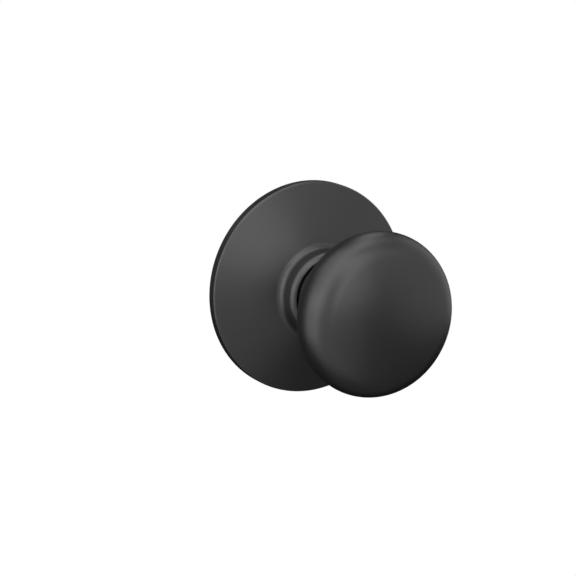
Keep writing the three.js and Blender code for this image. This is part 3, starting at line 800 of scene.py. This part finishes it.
def build_cage():
    """The cast cup round the return spring, with three screw ears and a window whose ends stop the lug."""
    rear, front = out_of("spring_cage")
    outer = CAGE_INNER + CAGE_WALL
    front_round = 0.8 * MM
    profile = [
        (CAGE_INNER, rear),
        (outer, rear),
        (outer, front, front_round),
        (BUSH_SEAT, front),
        (BUSH_SEAT, front - CAGE_WALL),
        (CAGE_INNER, front - CAGE_WALL),
    ]
    cage = lathe("spring_cup", rounded(profile))
    past = 1 * MM
    tools = []
    for degrees in SCREW_ANGLES:
        combine(cage, "UNION", prism("ear", ear_outline(degrees), rear, rear + CAGE_WALL))
        hole = disc_outline(SCREW_HOLE, *polar(SCREW_CIRCLE, degrees), 24)
        tools.append(prism("hole", hole, rear - past, rear + CAGE_WALL + past))
    stop = TURN_DEGREES + LUG_HALF_DEGREES + 0.5
    window = sector_outline(CAGE_INNER - past, outer + past, 270 - stop, 270 + stop)
    tools.append(prism("window", window, rear - past, out_of("spring_driver")[1] + FIT))
    tang = polar(COIL_RADIUS, COIL_START + 360 * COIL_TURNS)
    tools.append(prism("tang_hole", disc_outline(TANG_HOLE, *tang, 24), front - 2 * CAGE_WALL, front + past))
    stand_for(combine(cage, "DIFFERENCE", *tools), "spring_cage")


def build_rings():
    """The thrust washer and the open ring that keep the spindle in the cage."""
    slip = 0.2 * MM
    washer = band("thrust_washer", SPINDLE_RADIUS + slip)
    stand_for(lathe("thrust_ring", rounded(washer, FINE_BEVEL)), "thrust_washer")
    inner, outer, half_gap = SPINDLE_RADIUS - 0.35 * MM, SPINDLE_RADIUS + 2.1 * MM, 32
    ring = sector_outline(inner, outer, 270 + half_gap, 630 - half_gap)
    stand_for(soften(prism("open_ring", ring, *out_of("retaining_ring")), FINE_BEVEL), "retaining_ring")


def build_return_spring():
    """The torsion spring between the driver and the cage. It winds as the spindle turns."""
    rear, front = out_of("return_spring")
    margin = 1.3 * MM + COIL_WIRE
    length = front - rear - 2 * margin
    steps = 160
    x, z = polar(COIL_RADIUS, COIL_START)
    path = [Vector((x, -rear, z))]
    for i in range(steps + 1):
        x, z = polar(COIL_RADIUS, COIL_START + 360 * COIL_TURNS * i / steps)
        path.append(Vector((x, -rear - margin - length * i / steps, z)))
    path.append(Vector((path[-1].x, -front, path[-1].z)))
    spring = wire("return_coil", path, COIL_WIRE)
    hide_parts("return_spring")
    paint(spring, SLOTS["return_spring"])
    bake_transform(spring, "spindle", "chassis", (0, -rear - margin, 0), (0, -front + margin, 0))


def build_catch_spring():
    """The spring behind the catch."""
    low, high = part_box("catch_spring")
    radius, turns = 0.25 * MM, 6
    coil = high.x - radius
    steps = 40 * turns
    path = []
    for i in range(steps + 1):
        angle = 2 * math.pi * turns * i / steps
        z = low.z + radius + (high.z - low.z - 2 * radius) * i / steps
        path.append(Vector((coil * math.cos(angle), -CATCH_OUT + coil * math.sin(angle), z)))
    spring = wire("catch_coil", path, radius)
    stand_for(spring, "catch_spring")
    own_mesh(spring)


# ---------------------------------------------------------------- the plate, posts, bushes and screws


def build_plate():
    """The pressed plate on the door: a turned-up edge, screw holes, post holes and two slots."""
    lip = 1.2 * MM
    corner = 0.8 * MM
    slot_place, slot_half, slot_radius = 25.5 * MM, 3 * MM, 1.5 * MM
    post_hole = 3.3 * MM
    edge = out_of("mounting_plate")[1]
    profile = [
        (BUSH_SEAT, 0),
        (PLATE_RADIUS, 0, corner),
        (PLATE_RADIUS, edge),
        (PLATE_RADIUS - lip, edge),
        (PLATE_RADIUS - lip, PLATE_THICKNESS),
        (BUSH_SEAT, PLATE_THICKNESS),
    ]
    outlines = []
    for side in (-1, 1):
        outlines.append(slot_outline(side * slot_place, slot_half, slot_radius))
        outlines.append(disc_outline(post_hole, side * POST_PLACE))
    for degrees in SCREW_ANGLES:
        outlines.append(disc_outline(SCREW_HOLE, *polar(SCREW_CIRCLE, degrees)))
    holes = [prism("hole", outline, -PLATE_THICKNESS, 2 * PLATE_THICKNESS) for outline in outlines]
    stand_for(combine(lathe("door_plate", rounded(profile)), "DIFFERENCE", *holes), "mounting_plate")


def thread(tip, turns, pitch, crest, root):
    """The sharp corners of a thread's profile, from its first groove at the tip."""
    points = []
    for turn in range(turns):
        points.append((crest, tip + (turn + 0.5) * pitch, 0))
        points.append((root, tip + (turn + 1) * pitch, 0))
    return points


def build_posts():
    """Tapped posts: a rivet head on the plate, a shoulder behind it, and a thread that starts at the tip."""
    tip, head = out_of("mounting_post_right")
    crest, root, pitch = 1.75 * MM, 2.1 * MM, 0.8 * MM
    pin, shaft, shoulder = 3.1 * MM, 3.7 * MM, 4.6 * MM
    rivet, rivet_face, rivet_round = 4.1 * MM, 3.6 * MM, 0.4 * MM
    tip_round = 0.3 * MM
    gap = 0.05 * MM
    shoulder_rear = -1.3 * MM
    blind_end = -2.5 * MM
    drill_point = 1 * MM
    turns = math.floor((blind_end - tip) / pitch) - 1
    profile = [
        (0, head),
        (rivet_face, head, rivet_round),
        (rivet, PLATE_THICKNESS + gap),
        (pin, PLATE_THICKNESS + gap, 0),
        (pin, -gap, 0),
        (shoulder, -gap),
        (shoulder, shoulder_rear),
        (shaft, shoulder_rear),
        (shaft, tip, tip_round),
        (root, tip, 0),
    ]
    profile += thread(tip, turns, pitch, crest, root)
    profile += [(root, blind_end, 0), (0, blind_end + drill_point)]
    for name, side in (("left", -1), ("right", 1)):
        post = lathe("post_" + name, rounded(profile), SMALL_ROUND, (side * POST_PLACE, 0))
        stand_for(post, "mounting_post_" + name)


def build_bushes():
    """The flanged bushes that the spindle turns in, in the mounting plate and in the cage's front wall."""
    bore = SPINDLE_RADIUS + 0.1 * MM
    seat = BUSH_SEAT - 0.15 * MM
    lead_in = 0.3 * MM
    rear, front = out_of("rear_bush")
    flange = radius_of("rear_bush")
    flange_rear = PLATE_THICKNESS + 0.1 * MM
    profile = [
        (bore, rear, lead_in),
        (seat, rear),
        (seat, flange_rear),
        (flange, flange_rear),
        (flange, front),
        (bore, front),
    ]
    stand_for(lathe("plate_bush", rounded(profile)), "rear_bush")
    rear, front = out_of("front_bush")
    flange = radius_of("front_bush")
    flange_front = front - CAGE_WALL
    profile = [
        (bore, rear),
        (flange, rear),
        (flange, flange_front),
        (seat, flange_front),
        (seat, front),
        (bore, front, lead_in),
    ]
    stand_for(lathe("cage_bush", rounded(profile)), "front_bush")


def screw_name(node):
    return node.replace("cage_screw", "pan_screw")


def build_screws():
    """Pan head screws with a cross recess, through the cage's ears into the plate."""
    tip, top = out_of("cage_screw_top")
    shaft, root, pitch, turns = 1.4 * MM, 1.2 * MM, 0.5 * MM, 5
    head, head_height, head_round = 2.8 * MM, 1.8 * MM, 0.8 * MM
    head_rear = top - head_height
    profile = [(0, tip), (root, tip, 0)] + thread(tip, turns, pitch, shaft, root)
    profile += [(root, head_rear, 0), (head, head_rear), (head, top, head_round), (0, top)]
    long, narrow, depth = 1.5 * MM, 0.35 * MM, 1.1 * MM
    for node, degrees in zip(SCREWS, SCREW_ANGLES):
        x, z = polar(SCREW_CIRCLE, degrees)
        screw = lathe(screw_name(node), rounded(profile), SMALL_ROUND, (x, z))
        level = box_outline(x - long, x + long, z - narrow, z + narrow)
        upright = box_outline(x - narrow, x + narrow, z - long, z + long)
        recess = [prism("recess", outline, top - depth, top + depth) for outline in (level, upright)]
        stand_for(combine(screw, "DIFFERENCE", *recess), node)


build_rose()
build_knob()
build_liner()
build_catch()
build_sleeve()
build_spindle()
build_drive_bar()
build_driver()
build_cage()
build_rings()
build_return_spring()
build_catch_spring()
build_plate()
build_posts()
build_bushes()
build_screws()

# ---------------------------------------------------------------- floor, world, lights and camera

LIGHT_DISTANCE = 1.0
FILL_LIGHT = 0.005


def look(thing, place, target):
    thing.location = place
    thing.rotation_mode = "QUATERNION"
    thing.rotation_quaternion = (Vector(target) - Vector(place)).to_track_quat("-Z", "Y")


def towards(azimuth, elevation):
    """The direction of something seen from the knob. Azimuth 0 is straight out of the door, 90 is +X."""
    a, e = math.radians(azimuth), math.radians(elevation)
    return Vector((math.sin(a) * math.cos(e), -math.cos(a) * math.cos(e), math.sin(e)))


def add_light(name, azimuth, elevation, width, height, radiance):
    """A rectangular soft light that stands LIGHT_DISTANCE from the knob and faces it."""
    data = bpy.data.lights.new(name, "AREA")
    data.shape = "RECTANGLE"
    data.size, data.size_y = width, height
    data.energy = radiance * math.pi * width * height
    light = bpy.data.objects.new(name, data)
    light.visible_camera = False
    bpy.context.scene.collection.objects.link(light)
    aim = Vector((0, -KNOB_PROJECTION / 2, 0))
    look(light, aim + towards(azimuth, elevation) * LIGHT_DISTANCE, aim)
    return light


def add_lights():
    """A studio set: strips overhead, a lamp over the camera, panels at both sides and one low in front."""
    add_light("overhead", 126.1, 85.1, 4.35, 0.34, 1.10)
    add_light("front_top", -74.7, 64.8, 0.36, 4.12, 1.72)
    add_light("lamp", -7.9, 34.4, 0.68, 1.29, 3.09)
    add_light("low_front", -42.5, -21.9, 1.85, 1.79, 0.99)
    add_light("left_panel", -84.3, 45.2, 1.46, 1.36, 1.87)
    add_light("left_low", -94.6, -5.4, 0.90, 0.93, 2.04)
    add_light("right_panel", 73.6, 16.3, 2.37, 1.38, 0.87)
    add_light("right_low", 46.9, -44.6, 0.93, 4.50, 0.18)
    add_light("right_top", 148.4, 58.4, 0.28, 0.96, 1.74)


def add_back_lights():
    """Two panels behind the door plane that light only the pieces on the door side, for views from there."""
    door_side = bpy.data.collections.new("door_side")
    for name in ("door_plate", "post_left", "post_right", "latch_bar", "spindle", "plate_bush"):
        door_side.objects.link(bpy.data.objects[name])
    for node in SCREWS:
        door_side.objects.link(bpy.data.objects[screw_name(node)])
    width, height, radiance = 1.2, 1.0, 1.4
    for name, azimuth, elevation in (("back_left", 215, 35), ("back_right", 140, -10)):
        light = add_light(name, azimuth, elevation, width, height, radiance)
        light.light_linking.receiver_collection = door_side


def add_camera():
    """The photograph's view: from the left and a little above, through a long lens."""
    azimuth, elevation = -27.87, 12.99
    distance = 18.74 * ROSE_RADIUS
    shift = (5.75 * MM, 0.79 * MM)
    back = towards(azimuth, elevation)
    right = towards(azimuth + 90, 0)
    up = back.cross(right)
    data = bpy.data.cameras.new("camera")
    data.sensor_width = 36
    data.lens = 125
    data.clip_start, data.clip_end = 0.01, 20
    camera = bpy.data.objects.new("camera", data)
    bpy.context.scene.collection.objects.link(camera)
    turn = Matrix((right, up, back)).transposed().to_4x4()
    place = back * distance - right * shift[0] - up * shift[1]
    camera.matrix_world = Matrix.Translation(place) @ turn
    bpy.context.scene.camera = camera


def pale_floor():
    """A pale matt surface that is white to the camera, and clear from its underside."""
    n = Nodes("pale_floor")
    cloud = n.spread(n.noise(0.8, detail=2.0), 0.0, 1.0)
    tone = n.mix(cloud, grey(0.93), grey(0.95))
    n.finish(Base_Color=tone, Roughness=0.9)
    white = n.add("ShaderNodeEmission", Color=grey(1.0), Strength=1.0)
    clear = n.add("ShaderNodeBsdfTransparent")
    underside = n.add("ShaderNodeNewGeometry").outputs["Backfacing"]
    camera_ray = n.add("ShaderNodeLightPath").outputs["Is Camera Ray"]
    top = n.choose(camera_ray, n.shader.outputs[0], white.outputs[0])
    surface = n.choose(underside, top, clear.outputs[0])
    n.feed(n.tree.nodes["Material Output"], "Surface", surface)
    return n.material


def add_floor():
    """A pale floor well below the knob. It is seen only from above, so views from below stay open."""
    half, drop = 6.0, 0.6
    bm = bmesh.new()
    corners = [(-half, -half), (half, -half), (half, half), (-half, half)]
    bm.faces.new([bm.verts.new((x, y, -drop)) for x, y in corners])
    floor = new_object("floor", bm)
    floor.data.materials.append(pale_floor())
    floor.visible_diffuse = False
    floor.visible_glossy = False


def add_world(strength):
    """White to the camera, and a soft grey light to everything else."""
    world = bpy.data.worlds.new("studio")
    world.use_nodes = True
    tree = world.node_tree
    tree.nodes.clear()
    fill = tree.nodes.new("ShaderNodeBackground")
    fill.inputs["Color"].default_value = grey(1.0)
    fill.inputs["Strength"].default_value = strength
    white = tree.nodes.new("ShaderNodeBackground")
    white.inputs["Color"].default_value = grey(1.0)
    path = tree.nodes.new("ShaderNodeLightPath")
    mix = tree.nodes.new("ShaderNodeMixShader")
    output = tree.nodes.new("ShaderNodeOutputWorld")
    tree.links.new(path.outputs["Is Camera Ray"], mix.inputs[0])
    tree.links.new(fill.outputs[0], mix.inputs[1])
    tree.links.new(white.outputs[0], mix.inputs[2])
    tree.links.new(mix.outputs[0], output.inputs["Surface"])
    bpy.context.scene.world = world


add_world(FILL_LIGHT)
add_lights()
add_back_lights()
add_camera()
add_floor()
bpy.context.scene.view_settings.view_transform = "Standard"
